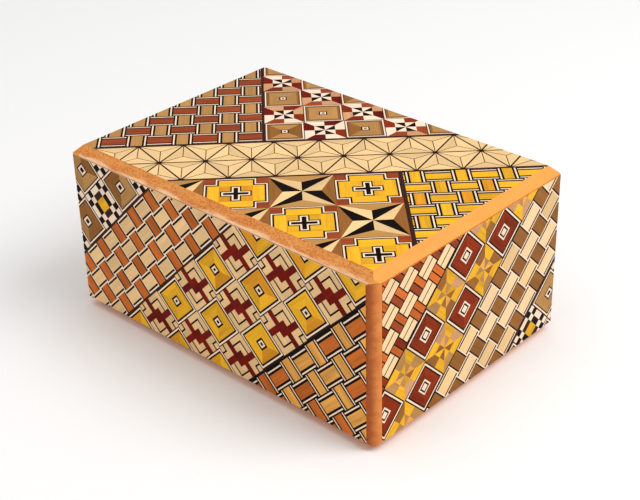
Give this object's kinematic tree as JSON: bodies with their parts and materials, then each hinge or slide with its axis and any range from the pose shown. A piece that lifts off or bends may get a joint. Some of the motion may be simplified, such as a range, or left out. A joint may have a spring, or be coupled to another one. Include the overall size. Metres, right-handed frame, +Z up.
{
  "type": "puzzle box",
  "caption": "Small oblong wooden secret box with marquetry faces, a sliding lid and sliding end and bottom panels.",
  "frame": {"origin": "centre of the resting face, under the middle of the closed box", "axes": "+X along the long side, the way the lid slides open; +Y to the rear; +Z up"},
  "size_m": [0.1212, 0.084, 0.0565],
  "materials": {
    "orange_wood": "clear satin lacquer",
    "inlaid_wood": "yosegi inlay under clear satin lacquer",
    "pale_inner_wood": "planed, unlacquered",
    "dark_hardwood": "planed, waxed"
  },
  "bodies": {
    "case": {"front_board": "orange_wood", "front_marquetry": "inlaid_wood", "rear_board": "orange_wood", "rear_marquetry": "inlaid_wood", "lid_guide_front": "dark_hardwood", "lid_guide_rear": "dark_hardwood", "bottom_guide_front": "dark_hardwood", "bottom_guide_rear": "dark_hardwood", "left_inner_end": "pale_inner_wood", "right_inner_end": "pale_inner_wood", "tray_floor": "pale_inner_wood"},
    "lid": {"lid_board": "orange_wood", "lid_marquetry": "inlaid_wood"},
    "bottom_panel": {"bottom_board": "orange_wood", "bottom_marquetry": "inlaid_wood", "bottom_key": "dark_hardwood"},
    "right_end_panel": {"right_end_board": "orange_wood", "right_end_marquetry": "inlaid_wood", "right_end_key": "dark_hardwood"},
    "left_end_panel": {"left_end_board": "orange_wood", "left_end_marquetry": "inlaid_wood", "left_end_key": "dark_hardwood"}
  },
  "joints": [
    {"name": "lid_slide", "type": "slide", "parent": "case", "child": "lid", "axis": [1, 0, 0], "range_m": [0, 0.1]},
    {"name": "right_end_panel_slide", "type": "slide", "parent": "case", "child": "right_end_panel", "axis": [0, 0, -1], "range_m": [0, 0.004]},
    {"name": "bottom_panel_slide", "type": "slide", "parent": "case", "child": "bottom_panel", "axis": [-1, 0, 0], "range_m": [0, 0.004]},
    {"name": "left_end_panel_slide", "type": "slide", "parent": "case", "child": "left_end_panel", "axis": [0, 0, 1], "range_m": [0, 0.004]}
  ]
}
